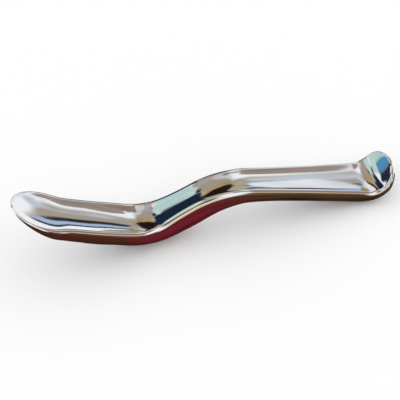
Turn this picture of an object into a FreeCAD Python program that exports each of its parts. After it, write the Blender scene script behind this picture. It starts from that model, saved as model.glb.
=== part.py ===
import FreeCAD, Part
import math
import os
import Sketcher
from FreeCAD import Placement, Rotation, Vector

# One-piece hand retractor: a dished blade, an S-shaped neck, a dished handle and a turned-up round end.
# Millimetres and degrees. +X runs from the blade's tip to the round end, +Z is up, and the piece is
# the same on both sides of the XZ plane. It lies as it rests on a table: on the heel of the blade and
# on the heel of the round end.

os.makedirs("parts", exist_ok=True)
doc = FreeCAD.newDocument("Retractor")

# Driving dimensions

DIMENSIONS = {
    # side view, along the line of the rims
    "blade_length": 80.5,
    "blade_sweep": 10.5,
    "heel_radius": 29.0,
    "heel_bend": 43.0,
    "riser_length": 20.5,
    "riser_slope": 25.0,
    "shoulder_radius": 60.0,
    "shoulder_bend": 38.5,
    "handle_length": 78.5,
    "hook_radius": 11.0,
    "hook_bend": 61.0,
    "hook_length": 12.0,
    # widths
    "tip_width": 37.0,
    "blade_width": 32.5,
    "heel_width": 32.0,
    "riser_width": 23.0,
    "handle_width": 24.5,
    "handle_end_width": 31.5,
    "hook_width": 34.5,
    # plan length of the two rounded ends
    "tip_round": 25.0,
    "hook_round": 14.6,
    # depths, from the rims to the underside
    "tip_depth": 1.7,
    "front_depth": 10.2,
    "blade_depth": 17.0,
    "heel_depth": 16.6,
    "riser_depth": 21.0,
    "handle_depth": 15.0,
    "handle_end_depth": 11.2,
    "hook_depth": 7.2,
    "hook_end_depth": 3.5,
    # depth of the dish in the upper face
    "tip_dish": 0.3,
    "blade_dish": 2.7,
    "heel_dish": 3.2,
    "riser_dish": 1.3,
    "handle_dish": 1.8,
    # rounding of the rims
    "tip_rim": 0.7,
    "blade_rim": 2.6,
    "riser_rim": 3.7,
    "handle_rim": 2.3,
    "hook_end_rim": 1.3,
    # rounding of the underside's corners
    "tip_corner": 0.8,
    "front_corner": 4.2,
    "body_corner": 8.0,
    "handle_end_corner": 5.6,
    "hook_corner": 3.6,
    "hook_end_corner": 1.6,
    # upright part of the flanks, between the rims and the underside's corners
    "tip_wall": 0.1,
    "blade_wall": 1.8,
    "riser_wall": 6.5,
    "handle_wall": 2.2,
    "hook_wall": 0.4,
}

sheet = doc.addObject("Spreadsheet::Sheet", "Sizes")
for row, (alias, number) in enumerate(DIMENSIONS.items(), start=1):
    sheet.set("A%d" % row, alias)
    sheet.set("B%d" % row, str(number))
    sheet.setAlias("B%d" % row, alias)
doc.recompute()


class Size:
    """A length or number held twice: as its value and as the sheet expression that gives it."""

    def __init__(self, value, text):
        self.value = value
        self.text = text

    def __add__(self, other):
        return Size(self.value + other.value, "(%s + %s)" % (self.text, other.text))

    def __sub__(self, other):
        return Size(self.value - other.value, "(%s - %s)" % (self.text, other.text))

    def __mul__(self, other):
        return Size(self.value * other.value, "(%s * %s)" % (self.text, other.text))

    def __truediv__(self, other):
        return Size(self.value / other.value, "(%s / %s)" % (self.text, other.text))


def cell(alias):
    """A driving dimension, read from the sheet."""
    return Size(DIMENSIONS[alias], "Sizes." + alias)


def plain(number):
    """A fixed number, such as a share."""
    return Size(number, "%.6f" % number)


def mix(first, second, share):
    """The size that lies a share of the way from the first to the second."""
    return first + (second - first) * plain(share)


def plane(owner, role):
    """One of the body's own origin planes."""
    return [item for item in owner.Origin.OriginFeatures if item.Role == role][0]


def dimension(sketch, name, size, *where, unit=""):
    """Add a named dimensional constraint and bind it to its expression."""
    kind = where[0]
    value = math.radians(size.value) if kind == "Angle" else size.value
    index = sketch.addConstraint(Sketcher.Constraint(*where, value))
    sketch.renameConstraint(index, name)
    sketch.setExpression("Constraints." + name, size.text + unit)


# Side view: the spine that the rims follow, as tangent arcs and straights

body = doc.addObject("PartDesign::Body", "Retractor")
body.Label = "retractor"

START, END, CENTRE = 1, 2, 3
ORIGIN = -1
VERTICAL_AXIS = -2


class Spine:
    """Draws the spine as a chain of tangent arcs and straights, one edge after the other."""

    def __init__(self, heading):
        self.sketch = body.newObject("Sketcher::SketchObject", "Spine")
        self.sketch.AttachmentSupport = [(plane(body, "XZ_Plane"), "")]
        self.sketch.MapMode = "FlatFace"
        self.point = Vector(0, 0, 0)
        self.heading = heading
        self.count = 0
        self.pending = []

    def straight(self, name, length):
        ahead = Vector(math.cos(self.heading), math.sin(self.heading), 0)
        finish = self.point + ahead * length.value
        self.sketch.addGeometry(Part.LineSegment(self.point, finish), False)
        self.pending.append((name + "_length", length, ("Distance", self.count), ""))
        self.point = finish
        self.count += 1

    def arc(self, name, radius, sweep, upward):
        turn = math.radians(sweep.value)
        side = 1 if upward else -1
        across = Vector(-math.sin(self.heading), math.cos(self.heading), 0) * side
        middle = self.point + across * radius.value
        circle = Part.Circle(middle, Vector(0, 0, 1), radius.value)
        begin = math.atan2(-across.y, -across.x)
        if upward:
            self.sketch.addGeometry(Part.ArcOfCircle(circle, begin, begin + turn), False)
        else:
            self.sketch.addGeometry(Part.ArcOfCircle(circle, begin - turn, begin), False)
        self.heading += side * turn
        spoke = Vector(math.sin(self.heading), -math.cos(self.heading), 0) * side
        self.point = middle + spoke * radius.value
        self.pending.append((name + "_radius", radius, ("Radius", self.count), ""))
        self.pending.append((name + "_sweep", sweep, ("Angle", self.count), " * 1 deg"))
        self.count += 1

    def finish(self, starts, level_edge, slope):
        """Close the chain with tangent joints, pin its start and set one straight's slope."""
        ends = {START: END, END: START}
        for index in range(self.count - 1):
            leave = ends[starts[index]]
            enter = starts[index + 1]
            self.sketch.addConstraint(Sketcher.Constraint("Tangent", index, leave, index + 1, enter))
        self.sketch.addConstraint(Sketcher.Constraint("Coincident", 0, starts[0], ORIGIN, 1))
        for name, size, where, unit in self.pending:
            dimension(self.sketch, name, size, *where, unit=unit)
        dimension(self.sketch, "slope", slope, "Angle", level_edge, unit=" * 1 deg")
        return self.sketch


blade_radius = cell("blade_length") / (cell("blade_sweep") * plain(math.pi / 180))
first_heading = math.radians(DIMENSIONS["riser_slope"] - DIMENSIONS["heel_bend"] - DIMENSIONS["blade_sweep"])
drawing = Spine(first_heading)
drawing.arc("blade", blade_radius, cell("blade_sweep"), upward=True)
drawing.arc("heel", cell("heel_radius"), cell("heel_bend"), upward=True)
drawing.straight("riser", cell("riser_length"))
drawing.arc("shoulder", cell("shoulder_radius"), cell("shoulder_bend"), upward=False)
drawing.straight("handle", cell("handle_length"))
drawing.arc("hook", cell("hook_radius"), cell("hook_bend"), upward=True)
drawing.straight("hook_end", cell("hook_length"))
# an arc that bends downward is drawn from its far end
spine = drawing.finish([START, START, START, END, START, START, START], 2, cell("riser_slope"))
doc.recompute()

BLADE, HEEL, RISER, SHOULDER, HANDLE, HOOK, HOOK_END = ["Edge%d" % number for number in range(1, 8)]


# Cross-sections: a dished top, two round rims and a rounded underside

stations = []


def section(name, edge, place, width, depth, dish, rim, corner, wall):
    """Draw one cross-section, square to the spine at a share of one of its edges.

    The outline is tangent all round: the dish, two rims, two upright walls, two lower corners
    and the belly.
    """
    sketch = body.newObject("Sketcher::SketchObject", name)
    sketch.AttachmentSupport = [(spine, edge)]
    sketch.MapMode = "NormalToEdge"
    # the downward bend is drawn from its far end, so its sections are turned to face as the others do
    sketch.MapReversed = edge == SHOULDER
    sketch.setExpression("MapPathParameter", place.text)

    half = width / plain(2)
    rim_x = half - rim
    corner_x = half - corner
    height = depth - rim - wall
    dish_radius = (rim_x * rim_x + dish * dish - plain(2) * rim * dish) / (plain(2) * dish)
    belly_radius = (corner_x * corner_x + height * height - corner * corner) / (plain(2) * (height - corner))
    rim_y = -rim.value
    corner_y = rim_y - wall.value
    dish_y = dish_radius.value - dish.value
    belly_y = belly_radius.value - depth.value
    dish_lean = math.atan2(rim_x.value, dish_y - rim_y)
    belly_lean = math.atan2(corner_x.value, belly_y - corner_y)

    def arc(x, y, radius, begin, finish):
        circle = Part.Circle(Vector(x, y, 0), Vector(0, 0, 1), radius)
        return sketch.addGeometry(Part.ArcOfCircle(circle, begin, finish), False)

    def upright(x, begin, finish):
        return sketch.addGeometry(Part.LineSegment(Vector(x, begin, 0), Vector(x, finish, 0)), False)

    right, left, down, up = 0.0, math.pi, -math.pi / 2, math.pi / 2
    top = arc(0, dish_y, dish_radius.value, down - dish_lean, down + dish_lean)
    rim_r = arc(rim_x.value, rim_y, rim.value, right, up + dish_lean)
    wall_r = upright(half.value, rim_y, corner_y)
    corner_r = arc(corner_x.value, corner_y, corner.value, down + belly_lean, right)
    belly = arc(0, belly_y, belly_radius.value, down - belly_lean, down + belly_lean)
    corner_l = arc(-corner_x.value, corner_y, corner.value, left, left - down - belly_lean)
    wall_l = upright(-half.value, corner_y, rim_y)
    rim_l = arc(-rim_x.value, rim_y, rim.value, up - dish_lean, left)

    joints = [(top, END, rim_r, END), (rim_r, START, wall_r, START), (wall_r, END, corner_r, END),
              (corner_r, START, belly, END), (belly, START, corner_l, END), (corner_l, START, wall_l, START),
              (wall_l, END, rim_l, END), (rim_l, START, top, START)]
    for first, first_end, second, second_end in joints:
        sketch.addConstraint(Sketcher.Constraint("Tangent", first, first_end, second, second_end))
    sketch.addConstraint(Sketcher.Constraint("Symmetric", rim_r, CENTRE, rim_l, CENTRE, VERTICAL_AXIS))
    sketch.addConstraint(Sketcher.Constraint("Equal", rim_r, rim_l))
    sketch.addConstraint(Sketcher.Constraint("Equal", corner_r, corner_l))
    sketch.addConstraint(Sketcher.Constraint("Equal", wall_r, wall_l))
    sketch.addConstraint(Sketcher.Constraint("Vertical", wall_r))
    sketch.addConstraint(Sketcher.Constraint("Vertical", wall_l))
    dimension(sketch, "rim_reach", rim_x, "DistanceX", ORIGIN, 1, rim_r, CENTRE)
    dimension(sketch, "rim_drop", rim, "DistanceY", rim_r, CENTRE, ORIGIN, 1)
    dimension(sketch, "rim_radius", rim, "Radius", rim_r)
    dimension(sketch, "wall_height", wall, "Distance", wall_r)
    dimension(sketch, "corner_radius", corner, "Radius", corner_r)
    dimension(sketch, "dish_radius", dish_radius, "Radius", top)
    dimension(sketch, "belly_radius", belly_radius, "Radius", belly)
    stations.append(sketch)


TIP_SWELL = 1.25
TIP_RIM_GROWTH = 0.75
TIP_WALL_GROWTH = 0.8


def tip_section(name, angle):
    """A section of the rounded tip: its half-width follows an ellipse, and it thickens inward."""
    along = 1 - math.cos(math.radians(angle))
    across = math.sin(math.radians(angle))
    thicker = along ** TIP_SWELL
    place = cell("tip_round") * plain(along) / cell("blade_length")
    section(name, BLADE, place,
            cell("tip_width") * plain(across),
            mix(cell("tip_depth"), cell("front_depth"), thicker),
            mix(cell("tip_dish"), cell("blade_dish"), along),
            mix(cell("tip_rim"), cell("blade_rim"), thicker * TIP_RIM_GROWTH),
            mix(cell("tip_corner"), cell("front_corner"), thicker),
            mix(cell("tip_wall"), cell("blade_wall"), thicker * TIP_WALL_GROWTH))


def hook_section(name, angle):
    """A section of the round end: its half-width follows an ellipse, its depth shrinks outward."""
    along = math.sin(math.radians(angle))
    across = math.cos(math.radians(angle))
    place = plain(1) - cell("hook_round") * plain(1 - along) / cell("hook_length")
    section(name, HOOK_END, place,
            cell("hook_width") * plain(across),
            mix(cell("hook_depth"), cell("hook_end_depth"), along),
            mix(cell("handle_dish"), cell("tip_dish"), along),
            mix(cell("handle_rim"), cell("hook_end_rim"), along),
            mix(cell("hook_corner"), cell("hook_end_corner"), along),
            mix(cell("hook_wall"), cell("tip_wall"), along))


# Places are shares of a stretch of the spine, and growths are shares of the way to the next form.

TIP_ANGLES = (11, 22, 35, 50, 68, 90)
BLADE_FRONT_PLACE = 0.46
BLADE_FRONT_NARROWING = 0.8
BLADE_FRONT_DEEPENING = 0.62
BLADE_FRONT_ROUNDING = 0.75
BLADE_MIDDLE_PLACE = 0.68
BLADE_HEEL_PLACE = 0.92
BLADE_HEEL_DEEPENING = 0.7
NECK_STATIONS = (("HeelBend1", HEEL, 0.3, 0.2), ("HeelBend2", HEEL, 0.75, 0.55),
                 ("RiserFoot", RISER, 0.2, 0.85), ("RiserHead", RISER, 0.85, 1.0))
SHOULDER_STATIONS = ((0.25, 0.2), (0.6, 0.5), (0.95, 0.85))
HANDLE_PLACES = (0.22, 0.5, 0.78, 0.96)
HANDLE_FLARE = 1.6
HOOK_HEEL_PLACE = 0.45
HOOK_HEEL_GROWTH = 0.6
HOOK_HEEL_THINNING = 0.55
HOOK_ANGLES = (15, 35, 52, 67, 79)

for number, angle in enumerate(TIP_ANGLES, start=1):
    tip_section("TipSection%d" % number, angle)

corner = cell("body_corner")
section("BladeFront", BLADE, plain(BLADE_FRONT_PLACE),
        mix(cell("tip_width"), cell("blade_width"), BLADE_FRONT_NARROWING),
        mix(cell("front_depth"), cell("blade_depth"), BLADE_FRONT_DEEPENING),
        cell("blade_dish"),
        cell("blade_rim"),
        mix(cell("front_corner"), corner, BLADE_FRONT_ROUNDING),
        cell("blade_wall"))
section("BladeMiddle", BLADE, plain(BLADE_MIDDLE_PLACE),
        cell("blade_width"),
        cell("blade_depth"),
        cell("blade_dish"),
        cell("blade_rim"),
        corner,
        cell("blade_wall"))
section("BladeHeel", BLADE, plain(BLADE_HEEL_PLACE),
        cell("heel_width"),
        mix(cell("blade_depth"), cell("heel_depth"), BLADE_HEEL_DEEPENING),
        cell("heel_dish"),
        cell("blade_rim"),
        corner,
        cell("blade_wall"))

# from the heel of the blade to the foot of the riser: the piece grows narrow and deep
for name, edge, place, growth in NECK_STATIONS:
    section(name, edge, plain(place),
            mix(cell("heel_width"), cell("riser_width"), growth),
            mix(cell("heel_depth"), cell("riser_depth"), growth),
            mix(cell("heel_dish"), cell("riser_dish"), growth),
            mix(cell("blade_rim"), cell("riser_rim"), growth),
            corner,
            mix(cell("blade_wall"), cell("riser_wall"), growth))

# over the shoulder and along the handle: it grows wide and shallow again
for number, (place, growth) in enumerate(SHOULDER_STATIONS, start=1):
    section("Shoulder%d" % number, SHOULDER, plain(1 - place),
            mix(cell("riser_width"), cell("handle_width"), growth),
            mix(cell("riser_depth"), cell("handle_depth"), growth),
            mix(cell("riser_dish"), cell("handle_dish"), growth),
            mix(cell("riser_rim"), cell("handle_rim"), growth),
            corner,
            mix(cell("riser_wall"), cell("handle_wall"), growth))
for number, place in enumerate(HANDLE_PLACES, start=1):
    section("Handle%d" % number, HANDLE, plain(place),
            mix(cell("handle_width"), cell("handle_end_width"), place ** HANDLE_FLARE),
            mix(cell("handle_depth"), cell("handle_end_depth"), place),
            cell("handle_dish"),
            cell("handle_rim"),
            mix(corner, cell("handle_end_corner"), place),
            cell("handle_wall"))
section("HookHeel", HOOK, plain(HOOK_HEEL_PLACE),
        mix(cell("handle_end_width"), cell("hook_width"), HOOK_HEEL_GROWTH),
        mix(cell("handle_end_depth"), cell("hook_depth"), HOOK_HEEL_THINNING),
        cell("handle_dish"),
        cell("handle_rim"),
        mix(cell("handle_end_corner"), cell("hook_corner"), HOOK_HEEL_GROWTH),
        mix(cell("handle_wall"), cell("hook_wall"), HOOK_HEEL_GROWTH))
for number, angle in enumerate(HOOK_ANGLES, start=1):
    hook_section("HookSection%d" % number, angle)
doc.recompute()

# The forging: one smooth loft through all the sections

forging = body.newObject("PartDesign::AdditiveLoft", "Forging")
forging.Profile = stations[0]
forging.Sections = stations[1:]
forging.Ruled = False
forging.Closed = False
doc.recompute()


def lowest(points, low_x, high_x):
    """The lowest of the points between two places along X."""
    return min((point for point in points if low_x <= point.x <= high_x), key=lambda point: point.z)


def level_on_its_heels(owner):
    """Turn the body about Y until both heels touch the table, then set it on Z = 0, centred on X."""
    facet = 0.05
    rounds = 8
    points = owner.Shape.tessellate(facet)[0]
    turn = Rotation()
    for _ in range(rounds):
        turned = [turn.multVec(point) for point in points]
        ends = [point.x for point in turned]
        middle = (min(ends) + max(ends)) / 2
        left = lowest(turned, min(ends), middle)
        right = lowest(turned, middle, max(ends))
        lean = math.degrees(math.atan2(right.z - left.z, right.x - left.x))
        turn = Rotation(Vector(0, 1, 0), lean) * turn
    turned = [turn.multVec(point) for point in points]
    middle = (min(point.x for point in turned) + max(point.x for point in turned)) / 2
    owner.Placement = Placement(Vector(-middle, 0, -min(point.z for point in turned)), turn)


level_on_its_heels(body)
doc.recompute()

# Checks and export

for item in doc.Objects:
    if "Invalid" in item.State or "Error" in item.State:
        raise RuntimeError("%s did not build: %s" % (item.Name, item.State))
if body.Shape.isNull() or not body.Shape.isValid() or len(body.Shape.Solids) != 1:
    raise RuntimeError("the retractor is not one valid solid")
body.Shape.exportStep("parts/%s.step" % body.Label)
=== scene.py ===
"""Looks of a one-piece hand retractor: a forged body in mirror-polished steel, on a white table."""

import logging
import math
from dataclasses import dataclass, field, replace
from enum import Enum

import bpy
from mathutils import Matrix, Vector


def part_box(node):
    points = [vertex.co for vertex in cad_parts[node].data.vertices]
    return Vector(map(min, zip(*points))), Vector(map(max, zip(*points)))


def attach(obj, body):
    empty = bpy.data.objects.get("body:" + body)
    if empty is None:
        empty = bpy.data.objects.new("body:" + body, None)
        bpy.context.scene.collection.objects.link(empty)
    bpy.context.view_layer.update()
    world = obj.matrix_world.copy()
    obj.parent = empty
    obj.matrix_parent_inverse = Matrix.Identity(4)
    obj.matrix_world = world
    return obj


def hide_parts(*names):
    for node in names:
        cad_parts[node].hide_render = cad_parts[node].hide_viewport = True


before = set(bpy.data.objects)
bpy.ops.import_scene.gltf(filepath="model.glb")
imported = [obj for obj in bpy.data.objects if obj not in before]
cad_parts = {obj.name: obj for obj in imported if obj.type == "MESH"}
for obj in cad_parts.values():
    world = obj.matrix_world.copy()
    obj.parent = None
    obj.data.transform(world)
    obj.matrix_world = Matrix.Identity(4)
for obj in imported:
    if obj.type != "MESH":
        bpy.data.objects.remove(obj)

LOG = logging.getLogger("retractor")
MM = 0.001
Tone = tuple[float, float, float, float]
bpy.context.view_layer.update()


def colour(red: int, green: int, blue: int) -> Tone:
    """Turn a display colour, 0 to 255 a channel, into the linear colour that a socket takes.

    Args:
        red: Red channel.
        green: Green channel.
        blue: Blue channel.

    Returns:
        Linear red, green, blue and an alpha of one.
    """
    linear = []
    for channel in (red, green, blue):
        share = channel / 255
        linear.append(share / 12.92 if share <= 0.04045 else ((share + 0.055) / 1.055) ** 2.4)
    return (linear[0], linear[1], linear[2], 1.0)


def mix(first: float, second: float, share: float) -> float:
    """Return the value that lies a share of the way from the first to the second."""
    return first + (second - first) * share


class Side(Enum):
    """The way an arc of the spine bends."""

    UP = 1
    DOWN = -1


@dataclass(frozen=True)
class Stretch:
    """One tangent stretch of the spine: a straight, or an arc if it has a radius."""

    length: float
    radius: float = 0.0
    side: Side = Side.UP


@dataclass
class Spine:
    """The S-shaped line that the rims follow, in the plane of symmetry, from the blade's tip."""

    stretches: list[Stretch]
    heading: float

    def at(self, distance: float) -> tuple[Vector, Vector]:
        """Follow the line for a distance.

        Args:
            distance: Way along the line from the tip.

        Returns:
            The point reached and the direction of travel, both in the XZ plane.
        """
        point, heading, left = Vector((0, 0, 0)), self.heading, distance
        for index, stretch in enumerate(self.stretches):
            last = index == len(self.stretches) - 1
            step = left if last else min(left, stretch.length)
            if stretch.radius:
                turn = stretch.side.value * step / stretch.radius
                chord = 2 * stretch.radius * math.sin(abs(turn) / 2)
                point = point + self.direction(heading + turn / 2) * chord
                heading += turn
            else:
                point = point + self.direction(heading) * step
            left -= step
            if left <= 0:
                break
        return point, self.direction(heading)

    @staticmethod
    def direction(angle: float) -> Vector:
        """Return the unit vector at an angle above +X."""
        return Vector((math.cos(angle), 0, math.sin(angle)))


@dataclass(frozen=True)
class Section:
    """One cross-section, in millimetres: dished top, round rims, upright walls, lower corners, belly."""

    width: float
    depth: float
    dish: float
    rim: float
    corner: float
    wall: float

    def blend(self, other: "Section", share: float) -> "Section":
        """Return the section that lies a share of the way to the other one."""
        pairs = {name: mix(value, getattr(other, name), share) for name, value in vars(self).items()}
        return Section(**pairs)

    def outline(
        self, dish_steps: int = 14, rim_steps: int = 9, corner_steps: int = 8
    ) -> list[tuple[float, float]]:
        """Walk round the section, from the middle of the dish over the near rim and back.

        Args:
            dish_steps: Steps across the dish, and across the belly.
            rim_steps: Steps round each rim.
            corner_steps: Steps round each lower corner.

        Returns:
            Points across and up, with the crest of the rims at height zero.
        """
        half = self.width / 2
        rim_x, corner_x = half - self.rim, half - self.corner
        height = self.depth - self.rim - self.wall
        dish_radius = (rim_x**2 + self.dish**2 - 2 * self.rim * self.dish) / (2 * self.dish)
        belly_radius = (corner_x**2 + height**2 - self.corner**2) / (2 * (height - self.corner))
        corner_y = -self.rim - self.wall
        dish_y, belly_y = dish_radius - self.dish, belly_radius - self.depth
        dish_lean = math.atan2(rim_x, dish_y + self.rim)
        belly_lean = math.atan2(corner_x, belly_y - corner_y)
        side: list[tuple[float, float]] = []

        def arc(x: float, y: float, radius: float, begin: float, finish: float, steps: int) -> None:
            """Add the points of an arc, without its last one.

            Args:
                x: Centre, across.
                y: Centre, up.
                radius: Radius of the arc.
                begin: Angle of its first point.
                finish: Angle of its last point.
                steps: How many steps it is walked in.
            """
            for step in range(steps):
                angle = mix(begin, finish, step / steps)
                side.append((x + radius * math.cos(angle), y + radius * math.sin(angle)))

        down, right, up = -math.pi / 2, 0.0, math.pi / 2
        arc(0, dish_y, dish_radius, down, down + dish_lean, dish_steps // 2)
        arc(rim_x, -self.rim, self.rim, up + dish_lean, right, rim_steps)
        side.append((half, -self.rim))
        side.append((half, mix(-self.rim, corner_y, 0.5)))
        arc(corner_x, corner_y, self.corner, right, down + belly_lean, corner_steps)
        arc(0, belly_y, belly_radius, down + belly_lean, down, dish_steps // 2)
        bottom = (0.0, -self.depth)
        other = [(-x, y) for x, y in reversed(side[1:])]
        return [*side, bottom, *other]


@dataclass(frozen=True)
class Ring:
    """A section set square on the spine, drawn in towards a rounded end where it is near one.

    Squeeze is the share of its width that it keeps, and nose the share of its thickness.
    """

    place: float
    section: Section
    squeeze: float = 1.0
    nose: float = 1.0


class Value:
    """A number in a node tree, with the usual arithmetic written as Math nodes."""

    def __init__(self, nodes: "Nodes", socket: bpy.types.NodeSocket) -> None:
        """Wrap a socket of a tree."""
        self.nodes = nodes
        self.socket = socket

    def maths(self, operation: str, *values: "Value | float") -> "Value":
        """Add a Math node that works on this value and others.

        Args:
            operation: The node's operation.
            values: What follows this value in the node's inputs.

        Returns:
            The node's result.
        """
        node = self.nodes.tree.nodes.new("ShaderNodeMath")
        node.operation = operation
        for slot, value in zip(node.inputs, (self, *values)):
            if isinstance(value, Value):
                self.nodes.tree.links.new(value.socket, slot)
            else:
                slot.default_value = value
        return Value(self.nodes, node.outputs[0])

    def __add__(self, other: "Value | float") -> "Value":
        """Add."""
        return self.maths("ADD", other)

    def __radd__(self, other: float) -> "Value":
        """Add, with the number first."""
        return self.maths("ADD", other)

    def __sub__(self, other: "Value | float") -> "Value":
        """Take away."""
        return self.maths("SUBTRACT", other)

    def __rsub__(self, other: float) -> "Value":
        """Take away from a number."""
        return (self * -1.0) + other

    def __mul__(self, other: "Value | float") -> "Value":
        """Multiply."""
        return self.maths("MULTIPLY", other)

    def __rmul__(self, other: float) -> "Value":
        """Multiply, with the number first."""
        return self.maths("MULTIPLY", other)

    def clamped(self) -> "Value":
        """Hold the value between zero and one.

        Returns:
            The held value.
        """
        held = self.maths("ADD", 0.0)
        held.socket.node.use_clamp = True
        return held

    def size(self) -> "Value":
        """Return the value without its sign."""
        return self.maths("ABSOLUTE")


class Nodes:
    """The node tree of a material or a world."""

    def __init__(self, owner: bpy.types.Material | bpy.types.World) -> None:
        """Switch the owner to nodes and keep its tree.

        Args:
            owner: The material or the world.
        """
        owner.use_nodes = True
        self.tree = owner.node_tree
        self.shader = self.tree.nodes.get("Principled BSDF")

    def add(
        self, kind: str, settings: dict[str, object] | None = None, **inputs: object
    ) -> dict[str, object]:
        """Add a node.

        Args:
            kind: The node's type.
            settings: Its own settings, set first.
            inputs: Values or sockets for its inputs, by their names in any case.

        Returns:
            Its outputs by name, numbers as Value and the rest as sockets.
        """
        node = self.tree.nodes.new(kind)
        for name, value in (settings or {}).items():
            setattr(node, name, value)
        for name, value in inputs.items():
            plain = name.lower().replace("_", " ")
            slots = [slot for slot in node.inputs if slot.name.lower() == plain and slot.enabled]
            self.feed(slots[0], value)
        found: dict[str, object] = {}
        for slot in node.outputs:
            if slot.enabled:
                found[slot.name] = Value(self, slot) if slot.type == "VALUE" else slot
        return found

    def join(self, source: bpy.types.NodeSocket, target: bpy.types.NodeSocket) -> None:
        """Link an output to an input."""
        self.tree.links.new(source, target)

    def feed(self, slot: bpy.types.NodeSocket, value: object) -> None:
        """Give an input a constant, or link it to a socket or a wrapped number.

        Args:
            slot: The input.
            value: What it takes.
        """
        if isinstance(value, Value):
            value = value.socket
        if isinstance(value, bpy.types.NodeSocket):
            self.join(value, slot)
        else:
            slot.default_value = value

    def blend(self, first: object, second: object, share: Value) -> bpy.types.NodeSocket:
        """Mix two colours, each a constant or a socket."""
        return self.add("ShaderNodeMix", settings={"data_type": "RGBA"},
                        factor=share, A=first, B=second)["Result"]

    def ramp(self, value: Value, begin: float, finish: float) -> Value:
        """Rise smoothly from zero to one between two values."""
        return self.add("ShaderNodeMapRange", settings={"interpolation_type": "SMOOTHSTEP"}, value=value,
                        From_Min=begin, From_Max=finish)["Result"]

    def make_matt(self, tone: object) -> None:
        """Give the Principled shader a colour with no shine.

        Args:
            tone: The colour, a constant or a socket.
        """
        self.feed(self.shader.inputs["Base Color"], tone)
        self.shader.inputs["Roughness"].default_value = 1.0
        self.shader.inputs["Specular IOR Level"].default_value = 0.0


@dataclass(frozen=True)
class PolishedSteel:
    """Mirror-polished stainless steel with a fine polishing grain, hairline scratches and faint haze."""

    name: str = "polished_steel"
    tint: Tone = colour(236, 239, 243)
    dull_tint: Tone = colour(212, 212, 212)
    dullness: float = 0.10
    gloss: float = 0.035
    haze: float = 0.05
    haze_scale: float = 38.0
    grain_scale: float = 900.0
    grain_stretch: float = 0.12
    grain_roughness: float = 0.02
    grain_height: float = 0.5
    scratch_scale: float = 260.0
    scratch_stretch: float = 0.05
    scratch_turn: tuple[float, float, float] = (0.2, 0.4, 0.7)
    scratch_threshold: float = 0.62
    scratch_contrast: float = 4.0
    scratch_roughness: float = 0.1
    scratch_height: float = 0.3
    relief: float = 0.05
    relief_depth: float = 0.00004

    def make(self) -> bpy.types.Material:
        """Build the material.

        Returns:
            The finished material.
        """
        material = bpy.data.materials.new(self.name)
        nodes = Nodes(material)
        place = nodes.add("ShaderNodeTexCoord")["Object"]
        along = nodes.add("ShaderNodeMapping", vector=place, Scale=(self.grain_stretch, 1.0, 1.0))["Vector"]
        grain = nodes.add("ShaderNodeTexNoise", vector=along, Scale=self.grain_scale, Detail=3.0)["Fac"]
        cloud = nodes.add("ShaderNodeTexNoise", vector=place, Scale=self.haze_scale, Detail=2.0)["Fac"]
        across = nodes.add("ShaderNodeMapping", vector=place, Rotation=self.scratch_turn,
                           Scale=(self.scratch_stretch, 1.0, 1.0))["Vector"]
        lines = nodes.add("ShaderNodeTexNoise", vector=across, Scale=self.scratch_scale,
                          Detail=6.0, Roughness=0.75)["Fac"]
        scratch = (lines - self.scratch_threshold).clamped() * self.scratch_contrast
        roughness = (cloud * self.haze + grain * self.grain_roughness
                     + scratch * self.scratch_roughness + self.gloss)
        shade = nodes.blend(self.tint, self.dull_tint, cloud * self.dullness)
        height = grain * self.grain_height + scratch * self.scratch_height
        bump = nodes.add("ShaderNodeBump", height=height, Strength=self.relief,
                         Distance=self.relief_depth)["Normal"]
        nodes.shader.inputs["Metallic"].default_value = 1.0
        nodes.join(shade, nodes.shader.inputs["Base Color"])
        nodes.join(roughness.socket, nodes.shader.inputs["Roughness"])
        nodes.join(bump, nodes.shader.inputs["Normal"])
        return material


@dataclass(frozen=True)
class WhiteLaminate:
    """The matt white of the table."""

    name: str = "white_laminate"

    def make(self) -> bpy.types.Material:
        """Build the material.

        Returns:
            The finished material.
        """
        material = bpy.data.materials.new(self.name)
        Nodes(material).make_matt((1, 1, 1, 1))
        return material


@dataclass(frozen=True)
class PaintedReflectionMat:
    """Painted reflection for the flanks: a matt sheet seen only in the polish, reddish brown at the blade,
    burgundy at the neck and olive brown at the handle.

    It pales away from the handle, and darker streaks run through it as painted dark bands in the reflection.
    """

    reach: float
    name: str = "painted_reflection_mat"
    blade_tone: Tone = colour(84, 44, 34)
    neck_tone: Tone = colour(124, 38, 48)
    neck_zone: tuple[float, float] = (-0.06, -0.03)
    handle_tone: Tone = colour(88, 64, 42)
    handle_zone: tuple[float, float] = (0.0, 0.05)
    far_tone: Tone = colour(142, 116, 84)
    far_zone: tuple[float, float] = (0.055, 0.1)
    streak_tone: Tone = colour(44, 22, 18)
    streak_scale: float = 70.0
    streak_stretch: float = 0.15
    streak_threshold: float = 0.45
    streak_contrast: float = 4.0

    def make(self) -> bpy.types.Material:
        """Build the material.

        Returns:
            The finished material.
        """
        material = bpy.data.materials.new(self.name)
        nodes = Nodes(material)
        place = nodes.add("ShaderNodeTexCoord")["Object"]
        parts = nodes.add("ShaderNodeSeparateXYZ", vector=place)
        at_neck = nodes.ramp(parts["X"], *self.neck_zone)
        at_handle = nodes.ramp(parts["X"], *self.handle_zone)
        away = nodes.ramp(parts["Y"], *(self.reach - distance for distance in self.far_zone))
        along = nodes.add("ShaderNodeMapping", vector=place, Scale=(self.streak_stretch, 1.0, 1.0))["Vector"]
        noise = nodes.add("ShaderNodeTexNoise", vector=along, Scale=self.streak_scale,
                          Detail=3.0, Roughness=0.6)["Fac"]
        streak = ((noise - self.streak_threshold) * self.streak_contrast).clamped()
        # Painted reflection: each zone along X colours the flank of the part above it, and the streaks paint
        # dark bands there.
        painted_reflection = nodes.blend(self.blade_tone, self.neck_tone, at_neck)
        painted_reflection = nodes.blend(painted_reflection, self.handle_tone, at_handle)
        painted_reflection = nodes.blend(painted_reflection, self.far_tone, away * at_handle)
        painted_reflection = nodes.blend(painted_reflection, self.streak_tone, streak)
        nodes.make_matt(painted_reflection)
        return material


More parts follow.
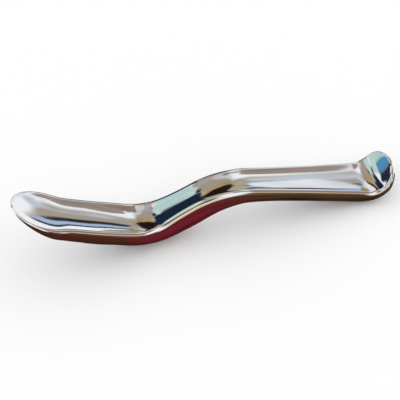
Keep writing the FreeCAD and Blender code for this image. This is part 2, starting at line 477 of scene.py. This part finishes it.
@dataclass
class Retractor:
    """The forged body: dished blade, heel, riser, shoulder, dished handle and turned-up round end.

    Sizes are in millimetres and degrees. Places are shares of a stretch of the spine, and growths are
    shares of the way from one section to the next. In plan both ends are half ellipses: the sections
    keep their form within the first and past the last angle, and are only drawn in.
    """

    blade_length: float = 80.5
    blade_sweep: float = 10.5
    heel_radius: float = 29.0
    heel_bend: float = 43.0
    riser_length: float = 20.5
    riser_slope: float = 25.0
    shoulder_radius: float = 60.0
    shoulder_bend: float = 38.5
    handle_length: float = 78.5
    hook_radius: float = 11.0
    hook_bend: float = 61.0
    hook_length: float = 12.0
    tip_round: float = 25.0
    hook_round: float = 14.6
    lean: float = 1.853
    first_angle: float = 11.0
    last_angle: float = 79.0
    tip_lead: float = 85.0
    tip_swell: float = 1.25
    hook_leads: tuple[float, ...] = (15, 22, 30)
    tip_nose: float = 0.9
    hook_nose: float = 1.7
    tip: Section = Section(37.0, 1.7, 0.3, 0.7, 0.8, 0.1)
    front: Section = Section(37.0, 10.2, 2.7, 2.125, 4.2, 1.46)
    blade: Section = Section(32.5, 17.0, 2.7, 2.6, 8.0, 1.8)
    heel: Section = Section(32.0, 16.6, 3.2, 2.6, 8.0, 1.8)
    riser: Section = Section(23.0, 21.0, 1.3, 3.7, 8.0, 6.5)
    handle: Section = Section(24.5, 15.0, 1.8, 2.3, 8.0, 2.2)
    handle_end: Section = Section(31.5, 11.2, 1.8, 2.3, 5.6, 2.2)
    hook: Section = Section(34.5, 7.2, 1.8, 2.3, 3.6, 0.4)
    hook_end: Section = Section(34.5, 3.5, 0.3, 1.3, 1.6, 0.1)
    blade_front_place: float = 0.46
    blade_front_narrowing: float = 0.8
    blade_front_growth: float = 0.62
    blade_front_rounding: float = 0.75
    blade_middle_place: float = 0.68
    blade_heel_place: float = 0.92
    blade_heel_deepening: float = 0.7
    heel_bend_stations: tuple[tuple[float, float], ...] = ((0.3, 0.2), (0.75, 0.55))
    riser_stations: tuple[tuple[float, float], ...] = ((0.2, 0.85), (0.85, 1.0))
    shoulder_stations: tuple[tuple[float, float], ...] = ((0.25, 0.2), (0.6, 0.5), (0.95, 0.85))
    handle_places: tuple[float, ...] = (0.22, 0.5, 0.78, 0.96)
    handle_flare: float = 1.6
    hook_heel_place: float = 0.45
    hook_heel_growth: float = 0.6
    hook_heel_thinning: float = 0.55
    end_steps: int = 16
    ring_step: float = 2.6
    finish: PolishedSteel = field(default_factory=PolishedSteel)

    def __post_init__(self) -> None:
        """Work out the spine and the places along it."""
        radius = self.blade_length / math.radians(self.blade_sweep)
        heel_arc = self.heel_radius * math.radians(self.heel_bend)
        shoulder_arc = self.shoulder_radius * math.radians(self.shoulder_bend)
        hook_arc = self.hook_radius * math.radians(self.hook_bend)
        heading = math.radians(self.riser_slope - self.heel_bend - self.blade_sweep)
        self.spine = Spine([
            Stretch(self.blade_length, radius),
            Stretch(heel_arc, self.heel_radius),
            Stretch(self.riser_length),
            Stretch(shoulder_arc, self.shoulder_radius, Side.DOWN),
            Stretch(self.handle_length),
            Stretch(hook_arc, self.hook_radius),
            Stretch(self.hook_length),
        ], heading)
        self.heel_start = self.blade_length
        self.riser_start = self.heel_start + heel_arc
        self.shoulder_start = self.riser_start + self.riser_length
        self.handle_start = self.shoulder_start + shoulder_arc
        self.hook_start = self.handle_start + self.handle_length
        self.hook_rise = self.hook_start + hook_arc
        self.end = self.hook_rise + self.hook_length

    def tip_section(self, angle: float) -> tuple[float, Section]:
        """Draw the section of the rounded tip at an angle of its plan ellipse.

        Args:
            angle: Zero at the very front, 90 where the ellipse is widest.

        Returns:
            Its place on the spine and the section.
        """
        along, across = 1 - math.cos(math.radians(angle)), math.sin(math.radians(angle))
        grown = self.tip.blend(self.front, along**self.tip_swell)
        dish = mix(self.tip.dish, self.front.dish, 1 - (1 - along) ** 2)
        return self.tip_round * along, replace(grown, width=self.tip.width * across, dish=dish)

    def hook_section(self, angle: float) -> tuple[float, Section]:
        """Draw the section of the round end at an angle of its plan ellipse.

        Args:
            angle: Zero where the ellipse is widest, 90 at the very end.

        Returns:
            Its place on the spine and the section.
        """
        along, across = math.sin(math.radians(angle)), math.cos(math.radians(angle))
        grown = self.hook.blend(self.hook_end, along)
        return self.end - self.hook_round * (1 - along), replace(grown, width=self.hook.width * across)

    def stations(self) -> list[tuple[float, Section]]:
        """List the sections that the body is drawn through.

        Returns:
            The sections, each with its place on the spine, from the tip to the round end.
        """
        found = [self.tip_section(self.tip_lead), self.tip_section(90)]
        found += self.blade_stations()
        found += self.neck_stations()
        found += self.handle_stations()
        found += [self.hook_section(angle) for angle in self.hook_leads]
        return found

    def blade_stations(self) -> list[tuple[float, Section]]:
        """List the stations of the blade behind its round tip.

        Returns:
            The sections, each with its place on the spine.
        """
        front = replace(
            self.front.blend(self.blade, self.blade_front_growth),
            width=mix(self.tip.width, self.blade.width, self.blade_front_narrowing),
            rim=self.blade.rim,
            wall=self.blade.wall,
            corner=mix(self.front.corner, self.blade.corner, self.blade_front_rounding),
        )
        heel = replace(self.heel, depth=mix(self.blade.depth, self.heel.depth, self.blade_heel_deepening))
        return [
            (self.blade_front_place * self.blade_length, front),
            (self.blade_middle_place * self.blade_length, self.blade),
            (self.blade_heel_place * self.blade_length, heel),
        ]

    def neck_stations(self) -> list[tuple[float, Section]]:
        """List the stations round the heel, up the riser and over the shoulder.

        Returns:
            The sections, each with its place on the spine.
        """
        found = []
        heel_arc = self.riser_start - self.heel_start
        for place, growth in self.heel_bend_stations:
            found.append((self.heel_start + place * heel_arc, self.heel.blend(self.riser, growth)))
        for place, growth in self.riser_stations:
            found.append((self.riser_start + place * self.riser_length, self.heel.blend(self.riser, growth)))
        for place, growth in self.shoulder_stations:
            where = mix(self.shoulder_start, self.handle_start, place)
            found.append((where, self.riser.blend(self.handle, growth)))
        return found

    def handle_stations(self) -> list[tuple[float, Section]]:
        """List the stations along the handle and at the foot of the round end.

        Returns:
            The sections, each with its place on the spine.
        """
        found = []
        for place in self.handle_places:
            width = mix(self.handle.width, self.handle_end.width, place**self.handle_flare)
            section = self.handle.blend(self.handle_end, place)
            found.append((self.handle_start + place * self.handle_length, replace(section, width=width)))
        foot = self.handle_end.blend(self.hook, self.hook_heel_growth)
        depth = mix(self.handle_end.depth, self.hook.depth, self.hook_heel_thinning)
        where = mix(self.hook_start, self.hook_rise, self.hook_heel_place)
        found.append((where, replace(foot, depth=depth)))
        return found

    def rings(self) -> list[Ring]:
        """Space the rings of the mesh: by angle at the two round ends and evenly between them.

        Returns:
            The rings, from the tip to the round end.
        """
        rings = self.tip_rings()
        keys = self.stations()
        begin, finish = keys[1][0], keys[-len(self.hook_leads)][0]
        count = round((finish - begin) / self.ring_step)
        for step in range(count):
            place = mix(begin, finish, step / count)
            rings.append(Ring(place, self.between(keys, place)))
        return rings + self.hook_rings()

    def tip_rings(self) -> list[Ring]:
        """Draw the blade's tip in to a point at its front.

        Returns:
            The rings of the tip.
        """
        rings = []
        for step in range(self.end_steps):
            angle = 90 * step / self.end_steps
            section = self.tip_section(max(angle, self.first_angle))[1]
            place = self.tip_round * (1 - math.cos(math.radians(angle)))
            squeeze = min(1.0, math.sin(math.radians(angle)) / math.sin(math.radians(self.first_angle)))
            rings.append(Ring(place, section, squeeze, self.rounding(place, self.tip_nose)))
        return rings

    def hook_rings(self) -> list[Ring]:
        """Draw the round end in to a point at its edge.

        Returns:
            The rings of the round end.
        """
        rings = []
        for step in range(self.end_steps + 1):
            angle = mix(self.hook_leads[0], 90, step / self.end_steps)
            section = self.hook_section(min(angle, self.last_angle))[1]
            place = self.end - self.hook_round * (1 - math.sin(math.radians(angle)))
            squeeze = min(1.0, math.cos(math.radians(angle)) / math.cos(math.radians(self.last_angle)))
            nose = self.rounding(self.end - place, self.hook_nose)
            rings.append(Ring(place, section, max(squeeze, 0.0), nose))
        return rings

    @staticmethod
    def rounding(distance: float, nose: float) -> float:
        """Round an edge off.

        Args:
            distance: Distance from the front of the edge.
            nose: Distance over which it is rounded.

        Returns:
            The share of the full thickness that it has there.
        """
        if distance >= nose:
            return 1.0
        return math.sqrt(max(0.0, 1 - (1 - distance / nose) ** 2))

    @staticmethod
    def between(keys: list[tuple[float, Section]], place: float) -> Section:
        """Draw a smooth curve through the stations and read it at a place.

        The first station only lends its slope to the second, where the curve begins.

        Args:
            keys: The stations, by their places on the spine.
            place: Where the curve is read.

        Returns:
            The section there.
        """
        whisker = 1e-9
        index = max(number for number, (where, _) in enumerate(keys[:-1]) if where <= place + whisker)
        where, section = keys[index]
        following, next_section = keys[index + 1]
        before, before_section = keys[max(index - 1, 0)]
        after, after_section = keys[min(index + 2, len(keys) - 1)]
        gap = following - where
        share = (place - where) / gap
        values = {}
        for name in vars(section):
            here, there = getattr(section, name), getattr(next_section, name)
            slope_here = (there - getattr(before_section, name)) / (following - before) * gap
            if index == 1:
                slope_here = (here - getattr(before_section, name)) / (where - before) * gap
            slope_there = (getattr(after_section, name) - here) / (after - where) * gap
            cube, square = share**3, share**2
            values[name] = ((2 * cube - 3 * square + 1) * here + (cube - 2 * square + share) * slope_here
                            + (3 * square - 2 * cube) * there + (cube - square) * slope_there)
        return Section(**values)

    def build(self) -> bpy.types.Object:
        """Model the body and dress it.

        Returns:
            The finished piece, in the frame's place.
        """
        rings = self.rings()
        around = len(rings[0].section.outline())
        bpy.ops.object.select_all(action="DESELECT")
        bpy.ops.mesh.primitive_grid_add(x_subdivisions=around, y_subdivisions=len(rings) - 1)
        piece = bpy.context.object
        piece.name = "forged_body"
        self.wrap(piece, rings, around)
        bpy.ops.object.mode_set(mode="EDIT")
        bpy.ops.mesh.select_all(action="SELECT")
        bpy.ops.mesh.remove_doubles(threshold=0.01 * MM)
        bpy.ops.mesh.normals_make_consistent(inside=False)
        bpy.ops.object.mode_set(mode="OBJECT")
        smoothing = piece.modifiers.new("smoothing", "SUBSURF")
        smoothing.levels = smoothing.render_levels = 1
        bpy.ops.object.modifier_apply(modifier=smoothing.name)
        self.settle(piece)
        bpy.ops.object.shade_smooth()
        piece.data.materials.clear()
        piece.data.materials.append(self.finish.make())
        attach(piece, "root")
        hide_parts("retractor")
        return piece

    def wrap(self, piece: bpy.types.Object, rings: list[Ring], around: int) -> None:
        """Wrap the flat grid round the rings, a row to a ring.

        Args:
            piece: The grid.
            rings: The rings, from the tip to the round end.
            around: How many points a ring has.
        """
        lean = Matrix.Rotation(math.radians(self.lean), 3, "Y")
        row_length = around + 1
        for row, ring in enumerate(rings):
            point, ahead = self.spine.at(ring.place)
            upward = Vector((-ahead.z, 0, ahead.x))
            outline = ring.section.outline()
            middle = -ring.section.depth / 2
            for column in range(row_length):
                x, y = outline[column % around]
                height = middle + (y - middle) * ring.nose
                place = point + upward * height + Vector((0, -x * ring.squeeze, 0))
                piece.data.vertices[row * row_length + column].co = lean @ place * MM

    def settle(self, piece: bpy.types.Object) -> None:
        """Move the mesh to where the frame's own node lies.

        Args:
            piece: The finished piece.
        """
        low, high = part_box("retractor")
        found = [vertex.co for vertex in piece.data.vertices]
        middle = (min(p.x for p in found) + max(p.x for p in found)) / 2
        lowest = min(p.z for p in found)
        shift = Vector(((low[0] + high[0]) / 2 - middle, 0, low[2] - lowest))
        piece.data.transform(Matrix.Translation(shift))


@dataclass(frozen=True)
class Card:
    """A glowing coloured card round the table, seen only in the polish, where it paints a reflection; it
    lights nothing.

    Azimuth zero stands behind the piece, and grows to the right. All angles are in degrees, and the
    distance is in metres. Soft is the share of the card over which it fades out.
    """

    name: str
    azimuth: float
    elevation: float
    width: float
    height: float
    tone: Tone
    roll: float = 0.0
    soft: float = 0.35
    distance: float = 3.0
    cloud_scale: float = 2.4
    waver: float = 0.5
    deep: float = 0.62
    deep_offset: float = 0.2
    deep_contrast: float = 1.4

    def stand(self) -> bpy.types.Object:
        """Set the card up.

        Returns:
            The card.
        """
        across, up = math.radians(self.azimuth), math.radians(self.elevation)
        outward = Vector((math.sin(across) * math.cos(up), math.cos(across) * math.cos(up), math.sin(up)))
        bpy.ops.object.select_all(action="DESELECT")
        bpy.ops.mesh.primitive_plane_add(size=1, location=outward * self.distance)
        card = bpy.context.object
        card.name = self.name
        facing = (-outward).to_track_quat("Z", "Y").to_matrix().to_4x4()
        turned = facing @ Matrix.Rotation(math.radians(self.roll), 4, "Z")
        size = [2 * self.distance * math.tan(math.radians(angle / 2)) for angle in (self.width, self.height)]
        stretched = turned @ Matrix.Diagonal((*size, 1, 1))
        card.matrix_world = Matrix.Translation(outward * self.distance) @ stretched
        card.data.materials.append(self.reflection_glow())
        hide_but_in_polish(card)
        return card

    def reflection_glow(self) -> bpy.types.Material:
        """Make the card's glow, a painted reflection: cloudy colour, darker in patches, fading out towards
        its wavering edges.

        Returns:
            The card's own material.
        """
        material = bpy.data.materials.new(self.name)
        nodes = Nodes(material)
        nodes.tree.nodes.remove(nodes.shader)
        place = nodes.add("ShaderNodeTexCoord")["UV"]
        parts = nodes.add("ShaderNodeSeparateXYZ", vector=place)
        start = nodes.add("ShaderNodeMapping", vector=place,
                          Location=(self.azimuth, self.elevation, 0.0))["Vector"]
        drift = nodes.add("ShaderNodeTexNoise", vector=start, Scale=self.cloud_scale, Detail=3.0)["Fac"] - 0.5
        mask = None
        for axis in ("X", "Y"):
            edge = (1.0 - (parts[axis] - 0.5).size() * 2.0 + drift * self.waver) * (1 / self.soft)
            held = nodes.ramp(edge, 0.0, 1.0)
            mask = held if mask is None else mask * held
        # Darker patches of the painted reflection.
        deep_tone = tuple(channel * self.deep for channel in self.tone)
        shade = nodes.blend(self.tone, deep_tone, ((drift + self.deep_offset) * self.deep_contrast).clamped())
        # The emission glows only into reflections: a painted reflection, not a lamp.
        glow = nodes.add("ShaderNodeEmission", color=shade, strength=1.0)["Emission"]
        clear = nodes.add("ShaderNodeBsdfTransparent")["BSDF"]
        blended = nodes.tree.nodes.new("ShaderNodeMixShader")
        nodes.join(mask.socket, blended.inputs[0])
        nodes.join(clear, blended.inputs[1])
        nodes.join(glow, blended.inputs[2])
        nodes.join(blended.outputs[0], nodes.tree.nodes["Material Output"].inputs["Surface"])
        return material


def hide_but_in_polish(thing: bpy.types.Object) -> None:
    """Leave a stage object out of everything but mirror reflections.

    Args:
        thing: The card or the mat.
    """
    thing.visible_camera = False
    thing.visible_diffuse = False
    thing.visible_shadow = False
    thing.visible_transmission = False
    thing.visible_volume_scatter = False


@dataclass
class Studio:
    """White table, white surroundings, glowing coloured cards and a dark mat that paint reflections into the
    polish, and the camera.

    The table, the mat and the cards are in metres, the camera in millimetres. The far cards stand one
    behind the other, the first one farthest, and the near ones have distances of their own.
    """

    table_size: float = 12.0
    table_drop: float = 0.0005
    mat_size: float = 2.4
    mat_drop: float = 0.0002
    mat_overlap: float = 0.002
    far: float = 5.5
    card_gap: float = 0.14
    lens: float = 155.0
    sensor: float = 36.0
    camera_azimuth: float = -17.26
    camera_elevation: float = 45.53
    camera_distance: float = 1085.0
    target: tuple[float, float, float] = (-5.31, 0.0, 22.37)
    # Far cards, each a painted reflection in the polish.
    far_cards: list[Card] = field(default_factory=lambda: [
        Card("overhead_haze", 0, 84, 60, 50, colour(222, 216, 218), soft=0.8),
        Card("overhead_grey", -40, 74, 40, 24, colour(170, 162, 156), soft=0.6),
        Card("right_taupe", 108, 37, 56, 46, colour(156, 130, 113), roll=-42, soft=0.22),
        Card("over_taupe", 98, 66, 36, 26, colour(150, 132, 120), soft=0.4),
        Card("back_beige", 33, 22, 36, 60, colour(188, 176, 161), roll=-29, soft=0.4),
        Card("left_grey", -76, 77, 44, 16, colour(180, 182, 182), soft=0.7),
        Card("rim_cream", -96, 64, 42, 14, colour(252, 240, 214), soft=0.5),
        Card("left_mint", -56, 51, 41, 29, colour(204, 232, 226), soft=0.35),
        Card("heel_tan", 2, 55, 52, 42, colour(178, 163, 144), soft=0.45),
        Card("heel_beige", 20, 32, 22, 26, colour(176, 160, 136), soft=0.5),
        Card("golden_edge", 2, 32, 34, 64, colour(184, 158, 110), roll=-18, soft=0.6),
        Card("back_brown", 6, 22, 26, 52, colour(36, 26, 18), roll=-18, soft=0.35),
        Card("back_dark", 34, 16, 16, 12, colour(48, 44, 38), soft=0.6),
        Card("back_blue", 32, 8, 18, 9, colour(178, 204, 238), soft=0.5),
        Card("back_navy", 28, 1, 18, 9, colour(36, 52, 82), soft=0.5),
        Card("left_navy", -19, 21, 27, 52, colour(28, 42, 64), roll=24, soft=0.35),
        Card("crease_dark", -24, 51, 8, 16, colour(50, 52, 56), roll=20, soft=0.6),
        Card("hook_mint", -55, 20, 29, 42, colour(206, 228, 216), soft=0.45),
        Card("hook_olive", -43, 38, 16, 11, colour(118, 112, 98), soft=0.6),
        Card("hook_blue", -50, 10, 15, 18, colour(86, 150, 200), soft=0.5),
        Card("hook_dark", -38, 7, 17, 20, colour(36, 44, 62), soft=0.5),
        Card("hook_brown", -112, 36, 44, 24, colour(140, 110, 92), soft=0.5),
        Card("front_olive", -150, 56, 36, 38, colour(96, 82, 60), soft=0.45),
        Card("front_cream", -172, 12, 34, 44, colour(240, 214, 174), soft=0.3),
        Card("front_brown", 146, 4, 40, 40, colour(74, 40, 28), soft=0.35),
    ])
    # Near cards paint the highlights and reflections on the handle and the round end.
    near_cards: list[Card] = field(default_factory=lambda: [
        Card("handle_pale", 51.7, 31.3, 20, 18, colour(214, 220, 226), soft=0.7, distance=0.53),
        Card("handle_taupe", 72.5, 44.5, 17, 22, colour(166, 148, 138), soft=0.3, distance=0.6),
        Card("handle_white", 48, 19, 25, 24, colour(250, 252, 255), soft=0.35, distance=0.215),
        Card("handle_gold", 137.6, 30.5, 24, 24, colour(226, 200, 168), soft=0.6, distance=0.45),
        Card("hook_tan", 37.9, 39.8, 16, 16, colour(190, 178, 150), soft=0.6, distance=0.148),
    ])

    def build(self) -> None:
        """Set the whole stage."""
        self.surroundings()
        self.table()
        self.mat()
        for order, card in enumerate(self.far_cards):
            replace(card, distance=self.far - order * self.card_gap).stand()
        for card in self.near_cards:
            card.stand()
        self.camera()
        bpy.context.scene.view_settings.view_transform = "Standard"

    def surroundings(self) -> None:
        """Make the world a plain white, for the camera and for the polish."""
        world = bpy.data.worlds.new("white_surroundings")
        bpy.context.scene.world = world
        nodes = Nodes(world)
        plain = nodes.tree.nodes["Background"]
        plain.inputs["Color"].default_value = (1, 1, 1, 1)
        plain.inputs["Strength"].default_value = 1.0

    def table(self) -> None:
        """Lay the white table under the piece."""
        bpy.ops.object.select_all(action="DESELECT")
        bpy.ops.mesh.primitive_plane_add(size=self.table_size, location=(0, 0, -self.table_drop))
        table = bpy.context.object
        table.name = "white_table"
        table.data.materials.append(WhiteLaminate().make())

    def mat(self) -> None:
        """Lay a dark mat on the near half of the table, seen only in the polish, where it paints the
        reflections in the flanks.
        """
        reach = self.mat_size / 2
        bpy.ops.object.select_all(action="DESELECT")
        bpy.ops.mesh.primitive_plane_add(size=self.mat_size,
                                         location=(0, self.mat_overlap - reach, -self.mat_drop))
        painted_reflection = bpy.context.object
        painted_reflection.name = "reflection_mat"
        painted_reflection.data.materials.append(PaintedReflectionMat(reach).make())
        hide_but_in_polish(painted_reflection)

    def camera(self) -> None:
        """Place the camera at the photograph's angle."""
        across, up = math.radians(self.camera_azimuth), math.radians(self.camera_elevation)
        back = Vector((math.sin(across) * math.cos(up), -math.cos(across) * math.cos(up), math.sin(up)))
        data = bpy.data.cameras.new("camera")
        data.lens = self.lens
        data.sensor_width = self.sensor
        camera = bpy.data.objects.new("camera", data)
        bpy.context.scene.collection.objects.link(camera)
        camera.location = (Vector(self.target) + back * self.camera_distance) * MM
        camera.rotation_mode = "QUATERNION"
        camera.rotation_quaternion = (-back).to_track_quat("-Z", "Y")
        bpy.context.scene.camera = camera


def main() -> None:
    """Build the piece and its stage."""
    logging.basicConfig(level=logging.INFO)
    body = Retractor().build()
    LOG.info("%s: %d faces", body.name, len(body.data.polygons))
    Studio().build()


if __name__ == "__main__":
    main()
